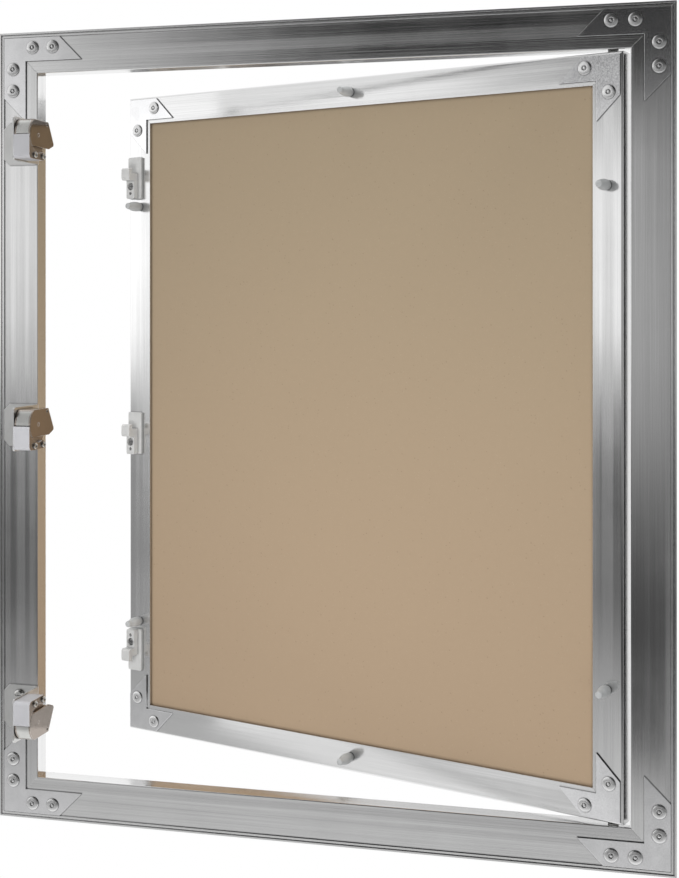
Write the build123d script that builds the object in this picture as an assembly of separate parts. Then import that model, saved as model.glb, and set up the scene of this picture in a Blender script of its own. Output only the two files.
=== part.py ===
from build123d import *
import math
import os

# Drywall access panel, seen here with its door ajar.
# Axes: the origin is the middle of the opening, on the seat face of the flange that lies against the
# back of the wall board. +Z is up, -Y is the room and +Y the wall cavity. The door hangs on its -X side.

# How far a cutting shape runs past the face that it cuts
CUT_PAST = 1.0

# Frame extrusion
OPENING_W = 500.0
OPENING_H = 600.0
FLANGE_W = 35.0
FLANGE_T = 2.0
COLLAR_REACH = 12.5
COLLAR_T = 1.5
COLLAR_EDGE_R = 0.8
RIDGE_W = 1.5
RIDGE_GAP = 1.1
RIDGE_H = 1.2

# Corner plates of the frame
FRAME_PLATE_T = 1.4
FRAME_PLATE_ARM = 20.0
FRAME_PLATE_REACH = 51.5
FRAME_PLATE_INSET = 0.4
FRAME_RIVETS_ALONG = (26.7, 45.2)
FRAME_RIVET_ACROSS = 8.6

# Blind rivets
RIVET_D = 4.8
RIVET_HEAD_D = 9.8
RIVET_HEAD_H = 1.9
RIVET_EYE_D = 2.8
RIVET_EYE_DEPTH = 0.7
RIVET_FIT = 0.05

# Door extrusion and board
DOOR_GAP = 2.0
BOARD_T = 12.5
BOARD_FIT = 0.3
DOOR_FLANGE_W = 25.0
DOOR_FLANGE_T = 2.0
DOOR_LEG_T = 1.5
DOOR_ROUND_R = 1.8
DOOR_PLATE_T = 1.4
DOOR_PLATE_ARM = 19.5
DOOR_PLATE_REACH = 31.5
DOOR_PLATE_INSET = 0.3
DOOR_RIVET_ALONG = 29.0
DOOR_RIVET_ACROSS = 9.0

# Hinge
OPEN_ANGLE = 17.0
PIN_INSET = 12.0
PIN_FROM_FACE = 4.5
HINGE_PIN_D = 4.0
HINGE_PIN_REACH = 12.0
HINGE_HEAD_D = 7.5
HINGE_HEAD_H = 2.0
HINGE_PIN_CHAMFER = 0.5
HINGE_RUNNING = 0.05
BUSH_WALL = 1.2
BUSH_COLLAR_D = 8.4
BUSH_COLLAR_T = 1.6
BUSH_LENGTH = 14.0
BORE_CLEARANCE = 0.3

# Board screws and the caps over their tips
BOARD_SCREW_D = 3.5
BOARD_SCREW_HEAD_D = 8.0
BOARD_SCREW_HEAD_H = 2.8
BOARD_SCREW_L = 35.0
BOARD_SCREW_FIT = 0.1
BOARD_SCREW_INSET = 13.0
CAP_D = 9.0
CAP_BODY_L = 14.0
CAP_NOSE_D = 6.4
CAP_L = 24.0
CAP_WALL = 0.9

# Latch brackets
LATCH_FROM_CORNER = 60.0
LATCH_TO_BOARD_SCREW = 45.0
BRACKET_T = 1.5
BRACKET_H = 36.0
BRACKET_FOOT = 31.0
BRACKET_STAND = 44.0
BRACKET_OVERHANG = 2.0
BRACKET_BEND_R = 1.0
BRACKET_CHAMFER = 5.0
BRACKET_CORNER_R = 3.0
BRACKET_SCREW_PITCH = 20.0
BRACKET_SCREW_D = 4.0
BRACKET_SCREW_HEAD_D = 8.5
BRACKET_SCREW_HEAD_H = 2.8
BRACKET_SCREW_CROWN_D = 6.0
BRACKET_SCREW_RIM = 1.7
SLOT_W = 1.0
SLOT_DEPTH = 0.9
BRACKET_SCREW_FROM_BEND = 18.0

# Latch jaw: a folded channel with two cheeks, a web over the top and a catch bar at its nose
JAW_T = 1.5
JAW_INSIDE = 11.0
JAW_SIDE_GAP = 0.6
JAW_HEEL_R = 14.5
JAW_TOP = 12.5
JAW_TOP_FRONT = 17.0
JAW_NOSE_REACH = 26.3
JAW_NOSE_HEIGHT = -5.2
JAW_NOSE_R = 2.0
JAW_THROAT = -10.0
JAW_CHIN = 18.0
JAW_RELIEF_R = 1.1
JAW_SWING = 18.0

# Latch housing: a solid casting behind the jaw
PIVOT_DEPTH = 31.5
PIVOT_HEIGHT = 3.5
PIVOT_D = 3.0
PIVOT_RUNNING = 0.05
PIVOT_EAR_R = 3.9
PIVOT_EAR_T = 1.7
HOUSING_START = 20.0
HOUSING_FACE_T = 0.9
HOUSING_BOTTOM = -17.0
HOUSING_TOP = 2.7
HOUSING_LEDGE_START = 22.5
HOUSING_ROUND_R = 3.5
SWEEP_CLEARANCE = 0.4
CHEEK_CLEARANCE = 0.9
STUD_D = 3.6
STUD_HEAD_D = 4.6
STUD_HEAD_H = 0.6
STUD_CHAMFER = 0.3
STUD_DEPTHS = (24.5, 38.5)
STUD_FIT = 0.05

# Latch spring
WIRE_D = 1.0
COIL_MEAN_R = 2.6
COIL_TURNS = 4
COIL_PITCH = 1.25
SPRING_DROP = 20.0
SPRING_LEAN = 18.0
SPRING_REST = 0.3

# Strikers
STRIKER_W = 15.5
STRIKER_T = 2.6
STRIKER_INSET = 1.0
STRIKER_TOP = 1.5
STRIKER_BOTTOM = -37.5
STRIKER_CORNER_R = 1.5
TONGUE_W = 9.4
TONGUE_H = 8.0
TONGUE_INSET = 3.3
HOOK_TOP = -9.3
HOOK_BOTTOM = -20.6
HOOK_H = 15.0
HOOK_HEAD_H = 4.2
HOOK_UNDERCUT = 4.4
HOOK_CHAMFER = 1.4
STRIKER_SCREW_D = 3.5
STRIKER_SCREW_HEAD_D = 7.0
STRIKER_SCREW_HEAD_H = 2.2
STRIKER_SCREW_HEIGHT = -26.0
STRIKER_HOLE_D = 3.0
STRIKER_HOLE_HEIGHT = -32.5
STRIKER_FIT = 0.1

# Values that follow from those above
FRAME_W = OPENING_W + 2 * FLANGE_W
FRAME_H = OPENING_H + 2 * FLANGE_W
LIP_W = 2 * RIDGE_W + RIDGE_GAP
DOOR_W = OPENING_W - 2 * DOOR_GAP
DOOR_H = OPENING_H - 2 * DOOR_GAP
DOOR_FACE = -COLLAR_REACH
DOOR_BOARD_BACK = DOOR_FACE + BOARD_T
DOOR_BACK = DOOR_BOARD_BACK + DOOR_FLANGE_T
HINGE_X = -DOOR_W / 2 + PIN_INSET
HINGE_Y = DOOR_FACE + PIN_FROM_FACE
BRACKET_FACE = OPENING_W / 2 - BRACKET_OVERHANG
JAW_FAR = BRACKET_FACE - JAW_SIDE_GAP
JAW_NEAR = JAW_FAR - JAW_INSIDE - 2 * JAW_T
TONGUE_FAR = JAW_FAR - JAW_T - SWEEP_CLEARANCE
TONGUE_NEAR = JAW_NEAR + JAW_T + CHEEK_CLEARANCE
HOUSING_DEPTH = PIVOT_DEPTH + JAW_HEEL_R + SWEEP_CLEARANCE + HOUSING_FACE_T
SWING = math.radians(JAW_SWING)
CHEEK_LOWEST = (JAW_THROAT + (HOUSING_LEDGE_START - PIVOT_DEPTH) * math.sin(SWING)) / math.cos(SWING)
HOUSING_LEDGE = PIVOT_HEIGHT + CHEEK_LOWEST - SWEEP_CLEARANCE
STUD_HEIGHT = (HOUSING_LEDGE + HOUSING_BOTTOM) / 2
LATCH_SPACING = OPENING_H / 2 - LATCH_FROM_CORNER
BOARD_SCREW_HEIGHT = LATCH_SPACING - LATCH_TO_BOARD_SCREW
LATCH_PLACES = ((1, LATCH_SPACING, 1), (2, 0.0, 1), (3, -LATCH_SPACING, -1))
CORNERS = (
    ("top_latch", 1, 1),
    ("top_hinge", -1, 1),
    ("bottom_latch", 1, -1),
    ("bottom_hinge", -1, -1),
)


def box(x, y, z):
    """A box from three (low, high) pairs."""
    size = [high - low for low, high in (x, y, z)]
    middle = [(low + high) / 2 for low, high in (x, y, z)]
    return Pos(*middle) * Box(*size)


def rod(x, z, y_low, y_high, diameter):
    """A round bar along Y."""
    bar = Cylinder(diameter / 2, y_high - y_low)
    return Pos(x, (y_low + y_high) / 2, z) * Rot(90, 0, 0) * bar


def cross_rod(y, z, x_low, x_high, diameter):
    """A round bar along X."""
    bar = Cylinder(diameter / 2, x_high - x_low)
    return Pos((x_low + x_high) / 2, y, z) * Rot(0, 90, 0) * bar


def across(points, x_low, x_high):
    """A flat outline given as (y, z) points, drawn out from x_low to x_high."""
    outline = make_face(Plane.YZ * Polyline(*points, close=True))
    return Pos(x_low, 0, 0) * extrude(outline, amount=x_high - x_low)


def spun(points):
    """A turned piece along Y from half its outline, given as (radius, y) points."""
    return revolve(make_face(Plane.XY * Polyline(*points, close=True)), Axis.Y)


def mitred(section, length, width):
    """An extrusion along X with its outer edge at z = 0 and both ends cut at 45 degrees."""
    bar = Pos(-length / 2, 0, 0) * extrude(section, amount=length)
    half = length / 2
    trapezoid = Polyline((-half, 0), (half, 0), (half - width, -width), (width - half, -width), close=True)
    return bar & extrude(make_face(Plane.XZ * trapezoid), amount=length, both=True)


def four_sides(section, width, height, depth):
    """The four members of a mitred frame, by the side that each one stands on."""
    rail = Pos(0, 0, height / 2) * mitred(section, width, depth)
    stile = Pos(0, 0, width / 2) * mitred(section, height, depth)
    return {
        "rail_top": rail,
        "rail_bottom": Rot(0, 180, 0) * rail,
        "stile_latch": Rot(0, 90, 0) * stile,
        "stile_hinge": Rot(0, -90, 0) * stile,
    }


def to_corner(piece, side_x, side_z):
    """A piece made for the +X +Z corner, mirrored to another corner."""
    if side_x < 0:
        piece = mirror(piece, about=Plane.YZ)
    if side_z < 0:
        piece = mirror(piece, about=Plane.XY)
    return piece


def swung(piece):
    """A piece of the closed door, turned about the hinge to where it stands ajar."""
    hinge = Axis((HINGE_X, HINGE_Y, 0), (0, 0, -1))
    return piece.rotate(hinge, OPEN_ANGLE)


def frame_section():
    back = FLANGE_T + RIDGE_H
    outline = Polyline(
        (0, 0),
        (back, 0),
        (back, -RIDGE_W),
        (FLANGE_T, -RIDGE_W),
        (FLANGE_T, -RIDGE_W - RIDGE_GAP),
        (back, -RIDGE_W - RIDGE_GAP),
        (back, -LIP_W),
        (FLANGE_T, -LIP_W),
        (FLANGE_T, -FLANGE_W),
        (-COLLAR_REACH, -FLANGE_W),
        (-COLLAR_REACH, COLLAR_T - FLANGE_W),
        (0, COLLAR_T - FLANGE_W),
        close=True,
    )
    face = make_face(outline)
    edge = face.vertices().sort_by_distance((FLANGE_T, -FLANGE_W))[0]
    return Plane.YZ * fillet(edge, COLLAR_EDGE_R)


def door_section():
    outline = Polyline(
        (DOOR_BACK, 0),
        (DOOR_BACK, -DOOR_FLANGE_W),
        (DOOR_BOARD_BACK, -DOOR_FLANGE_W),
        (DOOR_BOARD_BACK, -DOOR_LEG_T),
        (DOOR_FACE, -DOOR_LEG_T),
        (DOOR_FACE, 0),
        close=True,
    )
    face = make_face(outline)
    edge = face.vertices().sort_by_distance((DOOR_BACK, 0))[0]
    return Plane.YZ * fillet(edge, DOOR_ROUND_R)


def corner_plate(corner_x, corner_z, arm, reach, low, thickness):
    """An L plate whose outer corner is at the given x and z, with its arm ends cut at 45 degrees."""
    outline = [(0, 0), (reach, 0), (reach + arm, arm), (arm, arm), (arm, reach + arm), (0, reach)]
    points = [(corner_x - along, corner_z - down) for along, down in outline]
    plate = extrude(make_face(Plane.XZ * Polyline(*points, close=True)), amount=-thickness)
    return Pos(0, low, 0) * plate


def plate_rivet_places(corner_x, corner_z, alongs, across_arm):
    """Rivet centres on both arms of a corner plate, as (x, z) pairs."""
    places = [(corner_x - along, corner_z - across_arm) for along in alongs]
    return places + [(corner_x - across_arm, corner_z - along) for along in alongs]


def rivet(grip):
    """A blind rivet whose head stands above y = 0 and whose set end lies in the far face of the stack."""
    rise = RIVET_HEAD_H
    radius = RIVET_HEAD_D / 2
    dome = (radius**2 + rise**2) / (2 * rise)
    lean = math.asin(radius / dome) / 2
    arc = ThreePointArc(
        (radius, 0),
        (dome * math.sin(lean), rise - dome + dome * math.cos(lean)),
        (0, rise),
    )
    edges = arc + Polyline((0, rise), (0, -grip), (RIVET_D / 2, -grip), (RIVET_D / 2, 0), (radius, 0))
    turned = revolve(make_face(edges), Axis.Y)
    return turned - rod(0, 0, rise - RIVET_EYE_DEPTH, rise + CUT_PAST, RIVET_EYE_D)


def frame_plate_corner():
    inset = LIP_W + FRAME_PLATE_INSET
    return FRAME_W / 2 - inset, FRAME_H / 2 - inset


def door_plate_corner():
    inset = DOOR_ROUND_R + DOOR_PLATE_INSET
    return DOOR_W / 2 - inset, DOOR_H / 2 - inset


def corner_set(corner, arm, reach, alongs, across_arm, low, thickness, flange_t):
    """The four corner plates of one frame, all their rivets, and the holes that the rivets fill."""
    plate = corner_plate(*corner, arm, reach, low, thickness)
    places = plate_rivet_places(*corner, alongs, across_arm)
    one_rivet = rivet(flange_t + thickness)
    hole_d = RIVET_D + 2 * RIVET_FIT
    plates, rivets, holes = {}, [], []
    for name, side_x, side_z in CORNERS:
        drilled = [(side_x * x, side_z * z) for x, z in places]
        start, end = low - flange_t - CUT_PAST, low + thickness + CUT_PAST
        corner_holes = [rod(x, z, start, end, hole_d) for x, z in drilled]
        plates[name] = to_corner(plate, side_x, side_z) - corner_holes
        rivets += [Pos(x, low + thickness, z) * one_rivet for x, z in drilled]
        holes += corner_holes
    return plates, rivets, holes


def hinge_holes(low, high, diameter):
    """Bores along the hinge axis, from one height to another and mirrored at the foot."""
    bore = Pos(HINGE_X, HINGE_Y, (low + high) / 2) * Cylinder(diameter / 2, high - low)
    return [bore, mirror(bore, about=Plane.XY)]


def hinge_pin():
    """The top pin: its head rests on the outside of the collar and its shank reaches into the door."""
    seat = OPENING_H / 2 + COLLAR_T
    low = DOOR_H / 2 - HINGE_PIN_REACH
    shank = Pos(0, 0, (low + seat) / 2) * Cylinder(HINGE_PIN_D / 2, seat - low)
    head = Pos(0, 0, seat + HINGE_HEAD_H / 2) * Cylinder(HINGE_HEAD_D / 2, HINGE_HEAD_H)
    head = chamfer(head.edges().group_by(Axis.Z)[-1], HINGE_PIN_CHAMFER)
    pin = chamfer((shank + head).edges().group_by(Axis.Z)[0], HINGE_PIN_CHAMFER)
    return Pos(HINGE_X, HINGE_Y, 0) * pin


def hinge_bush():
    """The top bush, pressed into the door: a thin collar carries the door clear of the frame."""
    top = DOOR_H / 2
    outer = HINGE_PIN_D / 2 + HINGE_RUNNING + BUSH_WALL
    barrel = Pos(0, 0, top - BUSH_LENGTH / 2) * Cylinder(outer, BUSH_LENGTH)
    collar = Pos(0, 0, top + BUSH_COLLAR_T / 2) * Cylinder(BUSH_COLLAR_D / 2, BUSH_COLLAR_T)
    bore_r = HINGE_PIN_D / 2 + HINGE_RUNNING
    bore = Pos(0, 0, top) * Cylinder(bore_r, 2 * (HINGE_PIN_REACH + BORE_CLEARANCE))
    return Pos(HINGE_X, HINGE_Y, 0) * (barrel + collar - bore)


def board_screw_places():
    """Centres of the six board screws, as (x, z) pairs."""
    side = DOOR_W / 2 - BOARD_SCREW_INSET
    end = DOOR_H / 2 - BOARD_SCREW_INSET
    stiles = [(x, z) for x in (side, -side) for z in (BOARD_SCREW_HEIGHT, -BOARD_SCREW_HEIGHT)]
    return stiles + [(0, end), (0, -end)]


def board_screw():
    """A countersunk board screw with its head in the room face of the board."""
    head = BOARD_SCREW_HEAD_D / 2
    shank = BOARD_SCREW_D / 2
    neck = DOOR_FACE + BOARD_SCREW_HEAD_H
    point = DOOR_FACE + BOARD_SCREW_L
    return spun([(0, DOOR_FACE), (head, DOOR_FACE), (shank, neck), (shank, point - 2 * shank), (0, point)])


def screw_seat(x, z):
    """What a board screw takes out of the board and the door flange."""
    head = BOARD_SCREW_HEAD_D / 2 + BOARD_SCREW_FIT
    shank = BOARD_SCREW_D / 2 + BOARD_SCREW_FIT
    neck = DOOR_FACE + BOARD_SCREW_HEAD_H
    outside = DOOR_FACE - BOARD_SCREW_FIT
    back = DOOR_BACK + BOARD_SCREW_FIT
    points = [(0, outside), (head, outside), (head, DOOR_FACE), (shank, neck), (shank, back), (0, back)]
    return Pos(x, 0, z) * spun(points)


def screw_cap():
    """A stepped plastic cap pushed over the tip of a board screw."""
    body = CAP_D / 2
    nose = CAP_NOSE_D / 2
    step = DOOR_BACK + CAP_BODY_L
    top = DOOR_BACK + CAP_L
    slope = (body - nose) / 2
    cap = spun(
        [
            (0, DOOR_BACK),
            (body, DOOR_BACK),
            (body, step - slope),
            (nose, step + slope),
            (nose, top - nose / 2),
            (nose / 2, top),
            (0, top),
        ]
    )
    return cap - rod(0, 0, DOOR_BACK - CAP_WALL, top - 2 * CAP_WALL, BOARD_SCREW_D + 2 * BOARD_SCREW_FIT)


def drywall_board(seats):
    half_w = DOOR_W / 2 - DOOR_LEG_T - BOARD_FIT
    half_h = DOOR_H / 2 - DOOR_LEG_T - BOARD_FIT
    board = box((-half_w, half_w), (DOOR_FACE, DOOR_BOARD_BACK), (-half_h, half_h))
    bush_d = HINGE_PIN_D + 2 * (HINGE_RUNNING + BUSH_WALL + BORE_CLEARANCE)
    end = DOOR_H / 2 - BUSH_LENGTH - BORE_CLEARANCE
    return board - hinge_holes(end, DOOR_H / 2, bush_d) - seats


def latch_bracket():
    """The bent bracket: a foot on the flange and a leg that stands into the cavity."""
    foot_end = BRACKET_FACE + BRACKET_T + BRACKET_FOOT
    top = FLANGE_T + BRACKET_STAND
    outline = Polyline(
        (BRACKET_FACE, FLANGE_T),
        (foot_end, FLANGE_T),
        (foot_end, FLANGE_T + BRACKET_T),
        (BRACKET_FACE + BRACKET_T, FLANGE_T + BRACKET_T),
        (BRACKET_FACE + BRACKET_T, top),
        (BRACKET_FACE, top),
        close=True,
    )
    face = make_face(outline)
    bends = face.vertices()
    outer = bends.sort_by_distance((BRACKET_FACE, FLANGE_T))[0]
    face = fillet(outer, BRACKET_BEND_R + BRACKET_T)
    inner = face.vertices().sort_by_distance((BRACKET_FACE + BRACKET_T, FLANGE_T + BRACKET_T))[0]
    face = fillet(inner, BRACKET_BEND_R)
    bent = extrude(face, amount=BRACKET_H / 2, both=True)
    foot_corners = bent.edges().filter_by(Axis.Y).group_by(Axis.X)[-1]
    bent = chamfer(foot_corners, BRACKET_CHAMFER)
    leg_corners = bent.edges().filter_by(Axis.X).group_by(Axis.Y)[-1]
    bent = fillet(leg_corners, BRACKET_CORNER_R)
    hole_d = BRACKET_SCREW_D + 2 * STUD_FIT
    screw_holes = [rod(x, z, 0, top, hole_d) for x, z in bracket_screw_places()]
    stud_d = STUD_D + 2 * STUD_FIT
    near, far = BRACKET_FACE - CUT_PAST, BRACKET_FACE + BRACKET_T + CUT_PAST
    stud_holes = [cross_rod(y, STUD_HEIGHT, near, far, stud_d) for y in STUD_DEPTHS]
    return bent - screw_holes - stud_holes


def bracket_screw_places():
    """Centres of the two screws in a bracket's foot, as (x, z) pairs about the latch."""
    x = BRACKET_FACE + BRACKET_SCREW_FROM_BEND
    return [(x, BRACKET_SCREW_PITCH / 2), (x, -BRACKET_SCREW_PITCH / 2)]


def bracket_screw():
    """A round-headed screw through the bracket's foot and the flange."""
    head = BRACKET_SCREW_HEAD_D / 2
    shank = BRACKET_SCREW_D / 2
    crown = BRACKET_SCREW_CROWN_D / 2
    seat = FLANGE_T + BRACKET_T
    rim = seat + BRACKET_SCREW_RIM
    top = seat + BRACKET_SCREW_HEAD_H
    points = [(0, 0), (shank, 0), (shank, seat), (head, seat), (head, rim), (crown, top), (0, top)]
    slot = box((-head, head), (top - SLOT_DEPTH, top + CUT_PAST), (-SLOT_W / 2, SLOT_W / 2))
    return spun(points) - slot


def tangent_point(middle, radius, outside, side):
    """Where a line from a point outside touches a circle, on the side given by +1 or -1."""
    away = (outside[0] - middle[0], outside[1] - middle[1])
    turn = math.atan2(away[1], away[0]) + side * math.acos(radius / math.hypot(*away))
    return middle[0] + radius * math.cos(turn), middle[1] + radius * math.sin(turn)


def nose_middle():
    return JAW_NOSE_R - JAW_NOSE_REACH, JAW_NOSE_HEIGHT


def jaw_side():
    """The side outline of the jaw about its pivot, as a face in (y, z)."""
    nose = nose_middle()
    brow = (-JAW_TOP_FRONT, JAW_TOP)
    chin = (-JAW_CHIN, JAW_THROAT)
    nose_top = tangent_point(nose, JAW_NOSE_R, brow, 1)
    nose_low = tangent_point(nose, JAW_NOSE_R, chin, -1)
    heel_top = (math.sqrt(JAW_HEEL_R**2 - JAW_TOP**2), JAW_TOP)
    heel_low = (math.sqrt(JAW_HEEL_R**2 - JAW_THROAT**2), JAW_THROAT)
    edges = [
        Line(brow, heel_top),
        ThreePointArc(heel_top, (JAW_HEEL_R, 0), heel_low),
        Line(heel_low, chin),
        Line(chin, nose_low),
        ThreePointArc(nose_low, (nose[0] - JAW_NOSE_R, nose[1]), nose_top),
        Line(nose_top, brow),
    ]
    return make_face(edges)


def latch_jaw():
    """The jaw: two cheeks joined by a web over the top and down the front to the catch bar."""
    pivot = Pos(0, PIVOT_DEPTH, PIVOT_HEIGHT)
    brow = (-JAW_TOP_FRONT, JAW_TOP)
    nose = nose_middle()
    nose_top = tangent_point(nose, JAW_NOSE_R, brow, 1)
    slope = math.degrees(math.atan2(brow[1] - nose_top[1], brow[0] - nose_top[0]))
    outside = JAW_NEAR - JAW_T, JAW_FAR + JAW_T
    inside = JAW_NEAR + JAW_T, JAW_FAR - JAW_T
    wide = 2 * JAW_NOSE_REACH
    solid = Pos(JAW_NEAR, 0, 0) * extrude(Plane.YZ * jaw_side(), amount=JAW_FAR - JAW_NEAR)
    under_web = box(inside, (-wide, wide), (-wide, JAW_TOP - JAW_T))
    under_front = box(inside, (-wide, wide), (-2 * wide, -JAW_T))
    hollow = under_web & Pos(0, *brow) * Rot(slope, 0, 0) * under_front
    bar = cross_rod(*nose, *inside, 2 * JAW_NOSE_R)
    notch = brow[0] + 2 * JAW_RELIEF_R, brow[1] - JAW_T - JAW_RELIEF_R
    relief = cross_rod(*notch, *outside, 2 * JAW_RELIEF_R)
    bore = cross_rod(0, 0, *outside, PIVOT_D + 2 * PIVOT_RUNNING)
    return pivot * (solid - hollow + bar - relief - bore)


def latch_housing():
    """The casting that carries the jaw: a block with a recess on each side for the cheeks to swing in."""
    start, end = HOUSING_START, HOUSING_DEPTH
    block = box((JAW_NEAR, BRACKET_FACE), (start, end), (HOUSING_BOTTOM, HOUSING_TOP))
    lower_edges = block.edges().filter_by(Axis.X).group_by(Axis.Z)[0]
    block = fillet(lower_edges, HOUSING_ROUND_R)
    swept = JAW_HEEL_R + SWEEP_CLEARANCE
    full_height = HOUSING_BOTTOM - CUT_PAST, HOUSING_TOP + CUT_PAST
    recess_points = [
        (0, HOUSING_LEDGE),
        (PIVOT_DEPTH, HOUSING_LEDGE),
        (PIVOT_DEPTH, HOUSING_TOP + swept),
        (0, HOUSING_TOP + swept),
    ]
    outside = JAW_NEAR - CUT_PAST, BRACKET_FACE + CUT_PAST
    sides = ((outside[0], TONGUE_NEAR), (TONGUE_FAR, outside[1]))
    for low, high in sides:
        block -= across(recess_points, low, high)
        block -= cross_rod(PIVOT_DEPTH, PIVOT_HEIGHT, low, high, 2 * swept)
        block -= box((low, high), (0, HOUSING_LEDGE_START), full_height)
    ear = cross_rod(PIVOT_DEPTH, PIVOT_HEIGHT, TONGUE_NEAR, TONGUE_FAR, 2 * PIVOT_EAR_R)
    ear += box(
        (TONGUE_NEAR, TONGUE_FAR),
        (PIVOT_DEPTH - PIVOT_EAR_R, PIVOT_DEPTH + PIVOT_EAR_R),
        (HOUSING_BOTTOM / 2, PIVOT_HEIGHT),
    )
    block += ear
    trough_r = COIL_MEAN_R + WIRE_D / 2 + BORE_CLEARANCE
    near, far = TONGUE_NEAR + PIVOT_EAR_T, TONGUE_FAR - PIVOT_EAR_T
    block -= cross_rod(PIVOT_DEPTH, PIVOT_HEIGHT, near, far, 2 * trough_r)
    gap_top = PIVOT_HEIGHT + PIVOT_EAR_R + CUT_PAST
    block -= box((near, far), (PIVOT_DEPTH - trough_r, HOUSING_DEPTH), (PIVOT_HEIGHT, gap_top))
    block -= box((near, far), (0, PIVOT_DEPTH), (HOUSING_TOP, gap_top))
    block -= cross_rod(PIVOT_DEPTH, PIVOT_HEIGHT, JAW_NEAR, JAW_FAR, PIVOT_D + 2 * STUD_FIT)
    for depth in STUD_DEPTHS:
        block -= cross_rod(depth, STUD_HEIGHT, *outside, STUD_D + 2 * STUD_FIT)
    return block


def latch_pivot_pin():
    return cross_rod(PIVOT_DEPTH, PIVOT_HEIGHT, JAW_NEAR, JAW_FAR, PIVOT_D)


def latch_stud(depth):
    """A rivet that ties the housing to the bracket's leg."""
    face = JAW_NEAR
    back = BRACKET_FACE + BRACKET_T
    shank = cross_rod(depth, STUD_HEIGHT, face, back, STUD_D)
    near_head = cross_rod(depth, STUD_HEIGHT, face - STUD_HEAD_H, face, STUD_HEAD_D)
    near_head = chamfer(near_head.edges().group_by(Axis.X)[0], STUD_CHAMFER)
    far_head = cross_rod(depth, STUD_HEIGHT, back, back + STUD_HEAD_H, STUD_HEAD_D)
    return shank + near_head + far_head


def latch_spring():
    """A torsion spring round the pivot: one leg lies on the housing and the other lifts the web."""
    drop = math.radians(SPRING_DROP)
    lean = math.radians(SPRING_LEAN)
    turns = COIL_TURNS - (90 - SPRING_DROP - SPRING_LEAN) / 360
    length = turns * COIL_PITCH
    helix = Helix(COIL_PITCH, length, COIL_MEAN_R)
    coil = sweep(Plane(helix @ 0, z_dir=helix % 0) * Circle(WIRE_D / 2), path=helix)
    coil = Rot(270 - SPRING_LEAN, 0, 0) * Rot(0, 90, 0) * coil
    rest_height = HOUSING_TOP + WIRE_D / 2 - PIVOT_HEIGHT
    down_leg = (COIL_MEAN_R * math.cos(drop) - rest_height) / math.sin(drop)
    web_height = JAW_TOP - JAW_T - SPRING_REST - WIRE_D / 2 * math.sin(lean)
    up_leg = (web_height - COIL_MEAN_R * math.sin(lean)) / math.cos(lean)
    lower = Rot(0, 0, 90) * Rot(0, 90, 0) * Cylinder(WIRE_D / 2, down_leg)
    lower = Pos(length, 0, 0) * Rot(SPRING_DROP, 0, 0) * Pos(0, -down_leg / 2, COIL_MEAN_R) * lower
    upper = Rot(-SPRING_LEAN, 0, 0) * Pos(0, -COIL_MEAN_R, up_leg / 2) * Cylinder(WIRE_D / 2, up_leg)
    middle = (TONGUE_NEAR + TONGUE_FAR - length) / 2
    return Pos(middle, PIVOT_DEPTH, PIVOT_HEIGHT) * (coil + lower + upper)


def striker():
    """A moulded striker on the closed door: a base, a raised tongue for its screw and an undercut hook."""
    edge = DOOR_W / 2 - STRIKER_INSET
    base_top = DOOR_BACK + STRIKER_T
    base = box((edge - STRIKER_W, edge), (DOOR_BACK, base_top), (STRIKER_BOTTOM, STRIKER_TOP))
    base = fillet(base.edges().filter_by(Axis.Y), STRIKER_CORNER_R)
    far = DOOR_W / 2 - TONGUE_INSET
    span = (far - TONGUE_W, far)
    tongue = box(span, (DOOR_BACK, DOOR_BACK + TONGUE_H), (STRIKER_BOTTOM, HOOK_BOTTOM))
    tongue = fillet(tongue.edges().filter_by(Axis.Y).group_by(Axis.Z)[0], STRIKER_CORNER_R)
    hook = box(span, (DOOR_BACK, DOOR_BACK + HOOK_H), (HOOK_BOTTOM, HOOK_TOP))
    hook = chamfer(hook.edges().filter_by(Axis.X).group_by(Axis.Y)[-1], HOOK_CHAMFER)
    throat_top = DOOR_BACK + HOOK_H - HOOK_HEAD_H
    throat = box(span, (base_top, throat_top), (HOOK_TOP - HOOK_UNDERCUT, HOOK_TOP + CUT_PAST))
    x = (span[0] + span[1]) / 2
    tongue_top = DOOR_BACK + TONGUE_H
    bore = striker_screw_shape(STRIKER_FIT)
    hole = rod(x, STRIKER_HOLE_HEIGHT, base_top, tongue_top + CUT_PAST, STRIKER_HOLE_D)
    return (base + tongue + hook) - throat - bore - hole


def striker_screw_shape(grow):
    """The screw of a striker, or the hole for it when grown."""
    far = DOOR_W / 2 - TONGUE_INSET
    x = far - TONGUE_W / 2
    head = STRIKER_SCREW_HEAD_D / 2 + grow
    shank = STRIKER_SCREW_D / 2 + grow
    top = DOOR_BACK + TONGUE_H - STRIKER_SCREW_HEAD_H / 2
    neck = top - STRIKER_SCREW_HEAD_H
    low = DOOR_BOARD_BACK
    points = [(0, low), (shank, low), (shank, neck), (head, top)]
    if grow:
        mouth = DOOR_BACK + TONGUE_H + CUT_PAST
        points += [(head, mouth), (0, mouth)]
    else:
        points += [(0, top)]
    return Pos(x, 0, STRIKER_SCREW_HEIGHT) * spun(points)


def at_latch(piece, height, turn):
    """A latch or striker piece placed at its height, and turned head to foot on the lowest latch."""
    if turn < 0:
        piece = mirror(piece, about=Plane.XY)
    return Pos(0, 0, height) * piece


def save(name, *solids):
    """Write one sub-part, as its one solid or as a group of like ones."""
    shape = solids[0] if len(solids) == 1 else Compound(children=[Part(s.wrapped) for s in solids])
    export_step(shape, os.path.join("parts", name + ".step"))


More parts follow.
